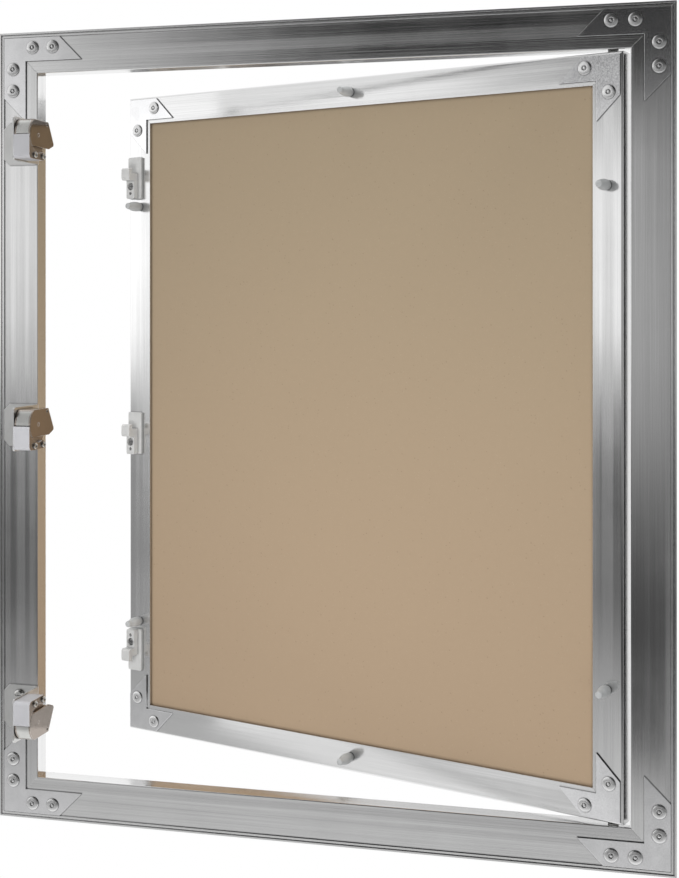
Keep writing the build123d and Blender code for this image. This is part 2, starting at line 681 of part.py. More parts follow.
def make_frame():
    sides = four_sides(frame_section(), FRAME_W, FRAME_H, FLANGE_W)
    plates, rivets, holes = corner_set(
        frame_plate_corner(),
        FRAME_PLATE_ARM,
        FRAME_PLATE_REACH,
        FRAME_RIVETS_ALONG,
        FRAME_RIVET_ACROSS,
        FLANGE_T,
        FRAME_PLATE_T,
        FLANGE_T,
    )
    pin_d = HINGE_PIN_D + 2 * STUD_FIT
    screw_d = BRACKET_SCREW_D + 2 * STUD_FIT
    holes += hinge_holes(OPENING_H / 2 - CUT_PAST, OPENING_H / 2 + COLLAR_T + CUT_PAST, pin_d)
    for _, height, turn in LATCH_PLACES:
        screws = [(x, height + turn * z) for x, z in bracket_screw_places()]
        holes += [rod(x, z, -CUT_PAST, FLANGE_T + CUT_PAST, screw_d) for x, z in screws]
    for name, member in sides.items():
        save("frame_" + name, member - holes)
    for name, plate in plates.items():
        save("frame_plate_" + name, plate)
    save("frame_rivets", *rivets)


def make_hinge():
    pin, bush = hinge_pin(), swung(hinge_bush())
    save("hinge_pin_top", pin)
    save("hinge_pin_bottom", mirror(pin, about=Plane.XY))
    save("hinge_bush_top", bush)
    save("hinge_bush_bottom", mirror(bush, about=Plane.XY))


def make_door():
    sides = four_sides(door_section(), DOOR_W, DOOR_H, DOOR_FLANGE_W)
    plates, rivets, holes = corner_set(
        door_plate_corner(),
        DOOR_PLATE_ARM,
        DOOR_PLATE_REACH,
        (DOOR_RIVET_ALONG,),
        DOOR_RIVET_ACROSS,
        DOOR_BACK,
        DOOR_PLATE_T,
        DOOR_FLANGE_T,
    )
    bush_d = HINGE_PIN_D + 2 * (HINGE_RUNNING + BUSH_WALL + STUD_FIT)
    holes += hinge_holes(DOOR_H / 2 - DOOR_LEG_T - CUT_PAST, DOOR_H / 2 + CUT_PAST, bush_d)
    seats = [screw_seat(x, z) for x, z in board_screw_places()]
    striker_holes = []
    for _, height, turn in LATCH_PLACES:
        striker_holes.append(at_latch(striker_screw_shape(STRIKER_FIT), height, turn))
    for name, member in sides.items():
        save("door_" + name, swung(member - holes - seats - striker_holes))
    for name, plate in plates.items():
        save("door_plate_" + name, swung(plate))
    save("door_rivets", *[swung(one) for one in rivets])
    save("drywall_board", swung(drywall_board(seats)))
    screw, cap = board_screw(), screw_cap()
    places = board_screw_places()
    save("board_screws", *[swung(Pos(x, 0, z) * screw) for x, z in places])
    for number, (x, z) in enumerate(places, start=1):
        save("screw_cap_%d" % number, swung(Pos(x, 0, z) * cap))


def make_latches():
    pieces = {
        "latch_bracket": latch_bracket(),
        "latch_housing": latch_housing(),
        "latch_jaw": latch_jaw(),
        "latch_pivot_pin": latch_pivot_pin(),
        "latch_spring": latch_spring(),
    }
    studs = [latch_stud(depth) for depth in STUD_DEPTHS]
    one_screw = bracket_screw()
    screws = []
    for number, height, turn in LATCH_PLACES:
        for name, piece in pieces.items():
            save("%s_%d" % (name, number), at_latch(piece, height, turn))
        save("latch_studs_%d" % number, *[at_latch(stud, height, turn) for stud in studs])
        screws += [Pos(x, 0, height + turn * z) * one_screw for x, z in bracket_screw_places()]
    save("bracket_screws", *screws)


def make_strikers():
    moulding = striker()
    screw = striker_screw_shape(0)
    for number, height, turn in LATCH_PLACES:
        save("striker_%d" % number, swung(at_latch(moulding, height, turn)))
    screws = [swung(at_latch(screw, height, turn)) for _, height, turn in LATCH_PLACES]
    save("striker_screws", *screws)


os.makedirs("parts", exist_ok=True)
make_frame()
make_hinge()
make_door()
make_latches()
make_strikers()
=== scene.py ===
import math

import bmesh
import bpy
from mathutils import Matrix, Vector


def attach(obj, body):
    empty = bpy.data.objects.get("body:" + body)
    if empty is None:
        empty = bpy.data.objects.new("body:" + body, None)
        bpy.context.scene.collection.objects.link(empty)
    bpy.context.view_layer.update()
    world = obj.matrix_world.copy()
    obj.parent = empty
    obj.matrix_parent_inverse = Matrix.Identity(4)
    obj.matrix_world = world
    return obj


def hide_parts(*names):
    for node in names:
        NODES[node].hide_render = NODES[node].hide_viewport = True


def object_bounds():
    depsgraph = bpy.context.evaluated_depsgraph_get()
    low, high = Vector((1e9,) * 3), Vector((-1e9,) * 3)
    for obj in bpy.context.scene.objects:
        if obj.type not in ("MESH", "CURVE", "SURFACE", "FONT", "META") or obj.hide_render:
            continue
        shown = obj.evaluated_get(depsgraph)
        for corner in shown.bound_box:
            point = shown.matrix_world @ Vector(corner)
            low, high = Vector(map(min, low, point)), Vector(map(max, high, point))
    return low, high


bl_info = {
    "name": "Drywall Access Panel",
    "version": (1, 0, 0),
    "blender": (4, 5, 0),
    "location": "View3D > Sidebar > Access Panel",
    "description": "Dresses a drywall access panel: drawn aluminium, kraft board, latches and studio",
    "category": "Object",
}

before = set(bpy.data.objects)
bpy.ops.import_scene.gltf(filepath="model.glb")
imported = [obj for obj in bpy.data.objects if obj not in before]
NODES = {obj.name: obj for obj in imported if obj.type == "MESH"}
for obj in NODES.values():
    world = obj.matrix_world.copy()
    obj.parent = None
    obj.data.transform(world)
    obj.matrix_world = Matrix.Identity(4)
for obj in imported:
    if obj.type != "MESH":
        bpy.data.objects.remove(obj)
CAD_BOX = [list(corner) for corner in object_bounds()]

HINGE = Vector((-0.236, -0.008, 0.0))
OPEN_TURN = math.radians(17)
CORNERS = ("top_latch", "top_hinge", "bottom_latch", "bottom_hinge")
SIDES = ("rail_top", "rail_bottom", "stile_latch", "stile_hinge")

# The floor lies close round the panel, so that its metal shows the room and not the floor
FLOOR_HALF = 0.72
FLOOR_FRONT = 0.6

# Places and sizes of the turned pieces, in millimetres on the closed panel
MM = 0.001
SPIN_STEPS = 40
SHARP = math.radians(32)
PLATE_TOP = 3.4
FRAME_PLATE_CORNER = (280.5, 330.5)
FRAME_RIVET_ALONG = (26.7, 45.2)
FRAME_RIVET_ACROSS = 8.6
DOOR_PLATE_CORNER = (245.9, 295.9)
DOOR_RIVET_ALONG = (29.0,)
DOOR_RIVET_ACROSS = 9.0
BOARD_SCREW_PLACES = ((235, 195), (235, -195), (-235, 195), (-235, -195), (0, 285), (0, -285))
DOOR_FACE = -12.5
CAP_SEAT = 2.0
LATCHES = ((1, 240.0, 1), (2, 0.0, 1), (3, -240.0, -1))
PIVOT_DEPTH = 31.5
PIVOT_HEIGHT = 3.5
STUD_DEPTHS = (24.5, 38.5)
STUD_DROP = 13.67
STUD_FACE = 232.8
JAW_INSIDE = (234.8, 246.0)
STRIKER_SCREW_X = 240.0
STRIKER_SCREW_TOP = 8.9
STRIKER_SCREW_DROP = 26.0

# Half outlines of the turned pieces, as (radius, height) from one end of the axis to the other
RIVET_OUTLINE = (
    (0, -3.4),
    (2.4, -3.4),
    (2.4, 0),
    (5.4, 0),
    (5.45, 0.35),
    (5.35, 0.8),
    (5.0, 1.05),
    (4.4, 1.22),
    (3.4, 1.36),
    (2.5, 1.45),
    (2.15, 1.42),
    (1.9, 1.2),
    (1.85, 0.75),
    (1.35, 0.72),
    (1.3, 1.1),
    (1.0, 1.3),
    (0, 1.35),
)
CAP_OUTLINE = (
    (0, 0),
    (3.1, 0),
    (3.5, 0.8),
    (4.2, 3.0),
    (4.5, 5.5),
    (4.45, 8.5),
    (4.15, 11.2),
    (3.5, 13.2),
    (3.1, 14.2),
    (2.95, 16.6),
    (2.6, 17.6),
    (1.6, 18.1),
    (0, 18.2),
)
BOARD_SCREW_OUTLINE = (
    (0, 0),
    (4.0, 0),
    (4.0, 0.4),
    (1.9, 2.8),
    (1.75, 22.0),
    (0.3, 25.0),
    (0, 25.0),
)
STUD_CUP_OUTLINE = (
    (0, 0),
    (2.5, 0),
    (2.6, 0.7),
    (2.35, 1.1),
    (2.0, 1.1),
    (1.75, 0.85),
    (1.6, 0.35),
    (0.5, 0.3),
    (0, 0.45),
)
STRIKER_SCREW_OUTLINE = (
    (0, -8.0),
    (0.4, -7.8),
    (1.45, -6.6),
    (1.45, -1.9),
    (3.5, -1.9),
    (3.5, -0.8),
    (3.2, -0.35),
    (2.6, -0.1),
    (2.1, 0),
    (1.7, 0),
    (1.3, 0),
    (0.9, 0),
    (0.45, 0),
    (0, 0),
)
RECESS_REACH = 2.0
RECESS_DEPTH = 0.9
RECESS_HALF_WIDTH = 0.36
WRAP_RADIUS = 14.5
WRAP_THICKNESS = 1.2
WRAP_FROM = math.radians(60)
WRAP_TO = math.radians(-1.0)
WRAP_STEPS = 14


# Node trees


def add(tree, kind, inputs=None, **settings):
    """One node, with its settings, and its inputs given as values or as sockets to join to."""
    node = tree.nodes.new(kind)
    for name, value in settings.items():
        setattr(node, name, value)
    for name, value in (inputs or {}).items():
        if isinstance(value, bpy.types.NodeSocket):
            tree.links.new(value, node.inputs[name])
        else:
            node.inputs[name].default_value = value
    return node


def maths(tree, operation, *values, clamp=False):
    inputs = dict(enumerate(values))
    return add(tree, "ShaderNodeMath", inputs, operation=operation, use_clamp=clamp).outputs[0]


def blend_colours(tree, factor, first, second, kind="MIX"):
    """Mixes two colours; each may be a socket or a colour."""
    node = add(tree, "ShaderNodeMix", data_type="RGBA", blend_type=kind)
    for index, value in ((0, factor), (6, first), (7, second)):
        if isinstance(value, bpy.types.NodeSocket):
            tree.links.new(value, node.inputs[index])
        else:
            node.inputs[index].default_value = value
    return node.outputs[2]


def stepped(tree, value, low, high, to_low=0.0, to_high=1.0, smooth=True):
    """A value read between two limits and given out between two others."""
    kind = "SMOOTHSTEP" if smooth else "LINEAR"
    inputs = {0: value, 1: low, 2: high, 3: to_low, 4: to_high}
    return add(tree, "ShaderNodeMapRange", inputs, interpolation_type=kind).outputs[0]


def noise(tree, vector, scale, detail=3.0, roughness=0.5, lacunarity=2.0):
    inputs = {"Vector": vector, "Scale": scale, "Detail": detail, "Roughness": roughness, "Lacunarity": lacunarity}
    return add(tree, "ShaderNodeTexNoise", inputs).outputs[0]


def new_group(name, sockets):
    """An empty shader group and its input and output nodes, with sockets given as (in or out, kind, name, default)."""
    tree = bpy.data.node_groups.new(name, "ShaderNodeTree")
    for way, kind, label, default in sockets:
        socket = tree.interface.new_socket(name=label, in_out=way, socket_type="NodeSocket" + kind)
        if default is not None:
            socket.default_value = default
    start = tree.nodes.new("NodeGroupInput")
    end = tree.nodes.new("NodeGroupOutput")
    return tree, start.outputs, end.inputs


def use_group(tree, name, inputs):
    node = add(tree, "ShaderNodeGroup", node_tree=bpy.data.node_groups[name])
    for label, value in inputs.items():
        if isinstance(value, bpy.types.NodeSocket):
            tree.links.new(value, node.inputs[label])
        else:
            node.inputs[label].default_value = value
    return node.outputs


def group_draw_lines():
    """Lines left along a profile by the extrusion die, with wider bands between them."""
    tree, given, out = new_group(
        "Draw Lines",
        [
            ("INPUT", "Vector", "Vector", None),
            ("INPUT", "Float", "Fineness", 900.0),
            ("INPUT", "Float", "Run", 0.012),
            ("OUTPUT", "Float", "Lines", None),
            ("OUTPUT", "Float", "Bands", None),
        ],
    )
    parts = add(tree, "ShaderNodeSeparateXYZ", {0: given["Vector"]}).outputs
    along = maths(tree, "MULTIPLY", parts[0], given["Run"])
    stretched = add(tree, "ShaderNodeCombineXYZ", {0: along, 1: parts[1], 2: parts[2]}).outputs[0]
    fine = noise(tree, stretched, given["Fineness"], 4.0, 0.65)
    wide = noise(tree, stretched, maths(tree, "MULTIPLY", given["Fineness"], 0.11), 2.0, 0.5)
    tree.links.new(stepped(tree, fine, 0.3, 0.7), out["Lines"])
    tree.links.new(stepped(tree, wide, 0.35, 0.65), out["Bands"])


def group_clouds():
    """Slow, uneven patches, as of handling and oxide."""
    tree, given, out = new_group(
        "Clouds",
        [
            ("INPUT", "Vector", "Vector", None),
            ("INPUT", "Float", "Scale", 12.0),
            ("INPUT", "Float", "Contrast", 0.5),
            ("OUTPUT", "Float", "Mask", None),
        ],
    )
    rough = noise(tree, given["Vector"], given["Scale"], 5.0, 0.6)
    half = maths(tree, "MULTIPLY", given["Contrast"], 0.5)
    low = maths(tree, "SUBTRACT", 0.5, maths(tree, "SUBTRACT", 0.5, half))
    high = maths(tree, "ADD", 0.5, maths(tree, "SUBTRACT", 0.5, half))
    tree.links.new(stepped(tree, rough, low, high), out["Mask"])


def group_edge_catch():
    """A soft rounding of sharp edges, and a mask of where they are."""
    tree, given, out = new_group(
        "Edge Catch",
        [
            ("INPUT", "Float", "Radius", 0.0004),
            ("OUTPUT", "Float", "Mask", None),
            ("OUTPUT", "Vector", "Normal", None),
        ],
    )
    rounded = add(tree, "ShaderNodeBevel", {"Radius": given["Radius"]}, samples=6).outputs[0]
    flat = add(tree, "ShaderNodeNewGeometry").outputs["True Normal"]
    facing = add(tree, "ShaderNodeVectorMath", {0: rounded, 1: flat}, operation="DOT_PRODUCT").outputs["Value"]
    tree.links.new(stepped(tree, facing, 1.0, 0.8), out["Mask"])
    tree.links.new(rounded, out["Normal"])


def group_crevice_shade():
    """A mask of the lines where one piece meets another, used to paint shade into them."""
    tree, given, out = new_group(
        "Crevice Shade",
        [
            ("INPUT", "Float", "Reach", 0.0015),
            ("OUTPUT", "Float", "Mask", None),
        ],
    )
    shade = add(tree, "ShaderNodeAmbientOcclusion", {"Distance": given["Reach"]}, samples=6)
    tree.links.new(stepped(tree, shade.outputs["AO"], 0.92, 0.45, smooth=False), out["Mask"])


def group_specks():
    """Scattered small flecks, as of fibre or grit."""
    tree, given, out = new_group(
        "Specks",
        [
            ("INPUT", "Vector", "Vector", None),
            ("INPUT", "Float", "Scale", 300.0),
            ("INPUT", "Float", "Size", 0.16),
            ("OUTPUT", "Float", "Mask", None),
        ],
    )
    bent = noise(tree, given["Vector"], maths(tree, "MULTIPLY", given["Scale"], 0.5), 2.0)
    moved = add(tree, "ShaderNodeVectorMath", {0: given["Vector"]}, operation="ADD")
    tree.links.new(maths(tree, "MULTIPLY", bent, 0.004), moved.inputs[1])
    cells = add(tree, "ShaderNodeTexVoronoi", {"Vector": moved.outputs[0], "Scale": given["Scale"]})
    pick = stepped(tree, add(tree, "ShaderNodeSeparateColor", {0: cells.outputs["Color"]}).outputs[0], 0.62, 0.66)
    spot = stepped(tree, cells.outputs["Distance"], given["Size"], 0.02)
    tree.links.new(maths(tree, "MULTIPLY", pick, spot), out["Mask"])


def build_groups():
    group_draw_lines()
    group_clouds()
    group_edge_catch()
    group_crevice_shade()
    group_specks()


# Materials


def new_material(name):
    """A material with its Principled shader, and the coordinates of the piece that it is on."""
    material = bpy.data.materials.new(name)
    material.use_nodes = True
    tree = material.node_tree
    shader = tree.nodes["Principled BSDF"]
    place = add(tree, "ShaderNodeTexCoord").outputs["Object"]
    return material, tree, shader, place


def turned(tree, place, turn, upright):
    """Coordinates with X along a member: turned with the door, and swapped on an upright one."""
    inputs = {"Vector": place, "Angle": turn}
    along = add(tree, "ShaderNodeVectorRotate", inputs, rotation_type="Z_AXIS").outputs[0]
    if not upright:
        return along
    parts = add(tree, "ShaderNodeSeparateXYZ", {0: along}).outputs
    return add(tree, "ShaderNodeCombineXYZ", {0: parts[2], 1: parts[1], 2: parts[0]}).outputs[0]


def bump(tree, height, depth, strength=1.0, normal=None):
    inputs = {"Height": height, "Distance": depth, "Strength": strength}
    if normal is not None:
        inputs["Normal"] = normal
    return add(tree, "ShaderNodeBump", inputs).outputs[0]


def grey(value):
    return (value, value, value, 1.0)


def drawn_aluminium(name, look, turn, upright):
    material, tree, shader, place = new_material(name)
    vector = turned(tree, place, turn, upright)
    lines = use_group(tree, "Draw Lines", {"Vector": vector, "Fineness": look.line_fineness, "Run": look.line_run})
    clouds = use_group(tree, "Clouds", {"Vector": vector, "Scale": 9.0, "Contrast": 0.5})
    edges = use_group(tree, "Edge Catch", {"Radius": 0.00035})
    tone = look.profile_colour
    low = [c * 0.95 for c in tone] + [1.0]
    high = [min(1.0, c * 1.03) for c in tone] + [1.0]
    colour = blend_colours(tree, lines["Lines"], low, high)
    colour = blend_colours(tree, maths(tree, "MULTIPLY", lines["Bands"], 0.12), colour, [c * 0.8 for c in tone] + [1.0])
    facing = add(tree, "ShaderNodeSeparateXYZ", {0: add(tree, "ShaderNodeNewGeometry").outputs["True Normal"]}).outputs
    open_face = stepped(tree, maths(tree, "ABSOLUTE", facing[1]), 0.35, 0.65)
    # Painted shade: on faces turned to the front or back, the creases where pieces meet are darkened towards near
    # black.
    crevice_shade = maths(tree, "MULTIPLY", use_group(tree, "Crevice Shade", {"Reach": 0.0014})["Mask"], open_face)
    colour = blend_colours(tree, maths(tree, "MULTIPLY", crevice_shade, 0.75), colour, grey(0.12))
    rough = stepped(tree, lines["Bands"], 0.0, 1.0, look.profile_roughness - 0.03, look.profile_roughness + 0.05)
    rough = maths(tree, "ADD", rough, maths(tree, "MULTIPLY", clouds["Mask"], 0.06))
    height = maths(tree, "ADD", lines["Lines"], maths(tree, "MULTIPLY", lines["Bands"], 1.5))
    tree.links.new(colour, shader.inputs["Base Color"])
    tree.links.new(rough, shader.inputs["Roughness"])
    tree.links.new(bump(tree, height, look.line_depth, 1.0, edges["Normal"]), shader.inputs["Normal"])
    shader.inputs["Metallic"].default_value = 1.0
    return material


def sheet_metal(name, colour, roughness, grain, contrast=0.1, edge=0.0004, depth=0.000004):
    """Rolled sheet with a fine grain, slow patches and softened edges, a painted highlight along those edges and
    painted shade in its creases.
    """
    material, tree, shader, place = new_material(name)
    clouds = use_group(tree, "Clouds", {"Vector": place, "Scale": grain * 0.06, "Contrast": 0.6})
    fine = noise(tree, place, grain, 4.0, 0.6)
    edges = use_group(tree, "Edge Catch", {"Radius": edge})
    low = [c * (1 - contrast) for c in colour] + [1.0]
    high = [min(1.0, c * (1 + contrast)) for c in colour] + [1.0]
    tone = blend_colours(tree, clouds["Mask"], low, high)
    # Painted highlight: the colour is lightened towards near white along sharp edges.
    tone = blend_colours(tree, maths(tree, "MULTIPLY", edges["Mask"], 0.5), tone, grey(0.95))
    # Painted shade: the creases where pieces meet are darkened towards near black.
    crevice_shade = use_group(tree, "Crevice Shade", {"Reach": 0.0014})["Mask"]
    tone = blend_colours(tree, maths(tree, "MULTIPLY", crevice_shade, 0.8), tone, grey(0.08))
    rough = stepped(tree, fine, 0.3, 0.7, roughness - 0.03, roughness + 0.05)
    tree.links.new(tone, shader.inputs["Base Color"])
    tree.links.new(rough, shader.inputs["Roughness"])
    tree.links.new(bump(tree, fine, depth, 1.0, edges["Normal"]), shader.inputs["Normal"])
    shader.inputs["Metallic"].default_value = 1.0
    return material


def moulded(name, colour, roughness, depth=0.000006, contrast=0.06, painted_shade_amount=0.65):
    """Moulded plastic or a painted casting: a fine skin, faint patches, a painted highlight along its edges and painted
    shade in its creases.
    """
    material, tree, shader, place = new_material(name)
    clouds = use_group(tree, "Clouds", {"Vector": place, "Scale": 60.0, "Contrast": 0.6})
    skin = noise(tree, place, 1500.0, 3.0, 0.6)
    edges = use_group(tree, "Edge Catch", {"Radius": 0.0004})
    low = [c * (1 - contrast) for c in colour] + [1.0]
    high = [min(1.0, c * (1 + contrast)) for c in colour] + [1.0]
    tone = blend_colours(tree, clouds["Mask"], low, high)
    # Painted highlight: the colour is lightened along sharp edges.
    tone = blend_colours(tree, maths(tree, "MULTIPLY", edges["Mask"], 0.3), tone, [min(1.0, c * 1.25) for c in colour] + [1.0])
    # Painted shade: the creases where pieces meet are darkened towards a dark copy of the colour.
    crevice_shade = use_group(tree, "Crevice Shade", {"Reach": 0.002})["Mask"]
    tone = blend_colours(tree, maths(tree, "MULTIPLY", crevice_shade, painted_shade_amount), tone, [c * 0.25 for c in colour] + [1.0])
    tree.links.new(tone, shader.inputs["Base Color"])
    tree.links.new(stepped(tree, skin, 0.3, 0.7, roughness - 0.06, roughness + 0.06), shader.inputs["Roughness"])
    tree.links.new(bump(tree, skin, depth, 1.0, edges["Normal"]), shader.inputs["Normal"])
    return material


def latch_casting(look):
    """The housing: a pale moulding whose two flanks carry the jaw's bright nickel sheet, with a painted highlight along
    its edges.
    """
    material = moulded("Latch Casting", look.casting_colour, 0.35, contrast=0.04)
    tree = material.node_tree
    shader = tree.nodes["Principled BSDF"]
    facing = add(tree, "ShaderNodeSeparateXYZ", {0: add(tree, "ShaderNodeNewGeometry").outputs["True Normal"]}).outputs
    flank = stepped(tree, maths(tree, "ABSOLUTE", facing[0]), 0.5, 0.7)
    plain = shader.inputs["Base Color"].links[0].from_socket
    nickel = list(look.nickel_colour) + [1.0]
    # Painted highlight: the colour is lightened to near white along the rounded edges.
    edges = use_group(tree, "Edge Catch", {"Radius": 0.0008})["Mask"]
    colour = blend_colours(tree, flank, plain, nickel)
    colour = blend_colours(tree, maths(tree, "MULTIPLY", edges, 0.6), colour, grey(0.92))
    tree.links.new(colour, shader.inputs["Base Color"])
    tree.links.new(maths(tree, "MULTIPLY", flank, 0.9), shader.inputs["Metallic"])
    return material


def kraft_board(look):
    """Brown liner paper: fibre flecks, slow washes of tone and a faint wave from its core, with painted shade towards
    the top and in its creases.
    """
    material, tree, shader, place = new_material("Kraft Liner Board")
    vector = turned(tree, place, OPEN_TURN, False)
    washes = use_group(tree, "Clouds", {"Vector": vector, "Scale": 4.0, "Contrast": 0.5})
    mottle = use_group(tree, "Clouds", {"Vector": vector, "Scale": 160.0, "Contrast": 0.4})
    dark = use_group(tree, "Specks", {"Vector": vector, "Scale": 260.0, "Size": 0.2})
    light = use_group(tree, "Specks", {"Vector": vector, "Scale": 410.0, "Size": 0.24})
    base = list(look.board_colour) + [1.0]
    shaded_top = list(look.board_shaded_top_colour) + [1.0]
    parts = add(tree, "ShaderNodeSeparateXYZ", {0: vector}).outputs
    # Painted shade: the board grows a little darker towards the top, where less light falls.
    height = stepped(tree, parts[2], -0.28, 0.28)
    tone = blend_colours(tree, height, base, shaded_top)
    tone = blend_colours(tree, maths(tree, "MULTIPLY", washes["Mask"], 0.16), tone, [c * 0.88 for c in look.board_colour] + [1.0])
    tone = blend_colours(tree, maths(tree, "MULTIPLY", mottle["Mask"], 0.10), tone, [c * 1.15 for c in look.board_colour] + [1.0])
    tone = blend_colours(tree, maths(tree, "MULTIPLY", dark["Mask"], 0.30), tone, (0.12, 0.07, 0.035, 1.0))
    tone = blend_colours(tree, maths(tree, "MULTIPLY", light["Mask"], 0.22), tone, (0.62, 0.52, 0.38, 1.0))
    # Painted shade: the board is darkened to near black brown where it meets the flanges and other pieces.
    crevice_shade = use_group(tree, "Crevice Shade", {"Reach": 0.003})["Mask"]
    tone = blend_colours(tree, maths(tree, "MULTIPLY", crevice_shade, 0.9), tone, (0.09, 0.06, 0.035, 1.0))
    fibre = noise(tree, vector, 700.0, 4.0, 0.7)
    wave = noise(tree, add(tree, "ShaderNodeCombineXYZ", {0: maths(tree, "MULTIPLY", parts[0], 0.06), 2: parts[2]}).outputs[0], 45.0, 1.0)
    relief = maths(tree, "ADD", fibre, maths(tree, "MULTIPLY", wave, 2.0))
    tree.links.new(tone, shader.inputs["Base Color"])
    tree.links.new(stepped(tree, fibre, 0.2, 0.8, 0.74, 0.92), shader.inputs["Roughness"])
    tree.links.new(bump(tree, relief, 0.00005), shader.inputs["Normal"])
    return material


def paint(name, material):
    """Gives a node of the frame its finish."""
    slots = NODES[name].data.materials
    if len(slots):
        for index in range(len(slots)):
            slots[index] = material
    else:
        slots.append(material)


# Turned and folded pieces


def on_closed_panel(x, y, z):
    """The place of a piece of the frame, whose axis is +Y."""
    return Matrix.Translation(Vector((x, y, z)) * MM)


def on_open_door(x, y, z):
    """The place of a piece of the door, turned with it from its closed place."""
    swing = Matrix.Translation(HINGE) @ Matrix.Rotation(-OPEN_TURN, 4, "Z") @ Matrix.Translation(-HINGE)
    return swing @ on_closed_panel(x, y, z)


def add_ring(shape, place, radius, height, recess):
    """A ring of vertices round the axis, or one vertex on it."""
    if radius == 0:
        return [shape.verts.new(place @ Vector((0, (height - recess(0, 0)) * MM, 0)))]
    ring = []
    for step in range(SPIN_STEPS):
        angle = 2 * math.pi * step / SPIN_STEPS
        x, z = radius * math.cos(angle), radius * math.sin(angle)
        ring.append(shape.verts.new(place @ (Vector((x, height - recess(x, z), z)) * MM)))
    return ring


def add_turned(shape, outline, place, recess=lambda x, z: 0.0):
    """Adds a closed turned piece to a mesh. recess gives how far a point of its end is pressed in."""
    rings = [add_ring(shape, place, radius, height, recess) for radius, height in outline]
    for low, high in zip(rings, rings[1:]):
        for step in range(SPIN_STEPS):
            after = (step + 1) % SPIN_STEPS
            corners = [low[step % len(low)], high[step % len(high)], high[after % len(high)], low[after % len(low)]]
            shape.faces.new(list(dict.fromkeys(corners)))


def cross_recess(x, z):
    """The depth of a cross recess in a screw's head, at a point of the head."""
    reach = max(abs(x), abs(z))
    aside = min(abs(x), abs(z))
    if reach > RECESS_REACH or aside > RECESS_HALF_WIDTH:
        return 0.0
    return RECESS_DEPTH * (1 - 0.5 * reach / RECESS_REACH)


def add_piece(name, shape, material, body, slot, *nodes):
    """Makes a piece of the object from a mesh, smooth but for its sharp edges, on a body of the frame."""
    bmesh.ops.recalc_face_normals(shape, faces=shape.faces)
    for face in shape.faces:
        face.smooth = True
    for edge in shape.edges:
        edge.smooth = edge.calc_face_angle(0.0) < SHARP
    mesh = bpy.data.meshes.new(name)
    shape.to_mesh(mesh)
    shape.free()
    mesh.materials.append(material)
    piece = bpy.data.objects.new(name, mesh)
    bpy.context.scene.collection.objects.link(piece)
    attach(piece, body)
    if nodes:
        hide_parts(*nodes)
    return piece


def rivet_places(corner, along, across):
    """Where the rivets of four corner plates stand, two arms to a plate."""
    places = []
    for side in (1, -1):
        for end in (1, -1):
            for step in along:
                places.append((side * (corner[0] - across), end * (corner[1] - step)))
                places.append((side * (corner[0] - step), end * (corner[1] - across)))
    return places


# Settings


def colour_setting(name, description, default):
    return bpy.props.FloatVectorProperty(
        name=name, description=description, default=default, size=3, min=0.0, max=1.0, subtype="COLOR"
    )


class ProfileLook(bpy.types.PropertyGroup):
    profile_colour: colour_setting("Profile Colour", "Colour of the drawn aluminium", (0.86, 0.86, 0.86))
    profile_roughness: bpy.props.FloatProperty(
        name="Profile Roughness", description="Mean roughness of the drawn aluminium", default=0.12, min=0.05, max=1.0
    )
    line_fineness: bpy.props.FloatProperty(
        name="Line Fineness", description="How many draw lines stand side by side", default=900.0, min=50.0
    )
    line_run: bpy.props.FloatProperty(
        name="Line Run", description="How quickly a draw line changes along its length", default=0.006, min=0.0
    )
    line_depth: bpy.props.FloatProperty(
        name="Line Depth", description="Depth of the draw lines", default=0.000007, min=0.0, subtype="DISTANCE", unit="LENGTH"
    )
    plate_colour: colour_setting("Plate Colour", "Colour of the corner plates", (0.90, 0.90, 0.91))
    plate_roughness: bpy.props.FloatProperty(
        name="Plate Roughness", description="Mean roughness of the corner plates", default=0.12, min=0.05, max=1.0
    )
    rivet_colour: colour_setting("Rivet Colour", "Colour of the blind rivets", (0.82, 0.82, 0.82))


class BoardLook(bpy.types.PropertyGroup):
    board_colour: colour_setting("Board Colour", "Colour of the liner paper low down", (0.455, 0.335, 0.225))
    # The colour high up is a little darker: painted shade where less light falls on the top of the board.
    board_shaded_top_colour: colour_setting("Shaded Top Board Colour", "Colour of the liner paper high up", (0.420, 0.332, 0.224))
    cap_colour: colour_setting("Cap Colour", "Colour of the caps over the screw tips", (0.50, 0.51, 0.51))


class LatchLook(bpy.types.PropertyGroup):
    nickel_colour: colour_setting("Nickel Colour", "Colour of the plated jaws", (0.39, 0.34, 0.30))
    wrap_colour: colour_setting("Heel Web Colour", "Colour of the brushed web round the heel", (0.70, 0.70, 0.68))
    casting_colour: colour_setting("Casting Colour", "Colour of the latch housings", (0.47, 0.47, 0.49))
    bracket_colour: colour_setting("Bracket Colour", "Colour of the zinc plated brackets", (0.80, 0.80, 0.79))
    striker_colour: colour_setting("Striker Colour", "Colour of the moulded strikers", (0.66, 0.66, 0.65))


class StudioLook(bpy.types.PropertyGroup):
    floor_drop: bpy.props.FloatProperty(
        name="Floor Drop", description="How far the floor lies below the panel", default=0.45, min=0.0, subtype="DISTANCE", unit="LENGTH"
    )
    key_power: bpy.props.FloatProperty(
        name="Key Power", description="Power of the soft lamp before the board", default=1.8, min=0.0, subtype="POWER", unit="POWER"
    )
    fill_power: bpy.props.FloatProperty(
        name="Fill Power", description="Power of the low fill lamp", default=3.0, min=0.0, subtype="POWER", unit="POWER"
    )
    top_power: bpy.props.FloatProperty(
        name="Top Power", description="Power of the lamp over the floor", default=60.0, min=0.0, subtype="POWER", unit="POWER"
    )
    ambient: bpy.props.FloatProperty(
        name="Ambient", description="Light from all round on what isn't metal", default=0.5, min=0.0, max=2.0
    )
    floor_colour: colour_setting("Floor Colour", "Colour of the floor", (0.92, 0.92, 0.92))


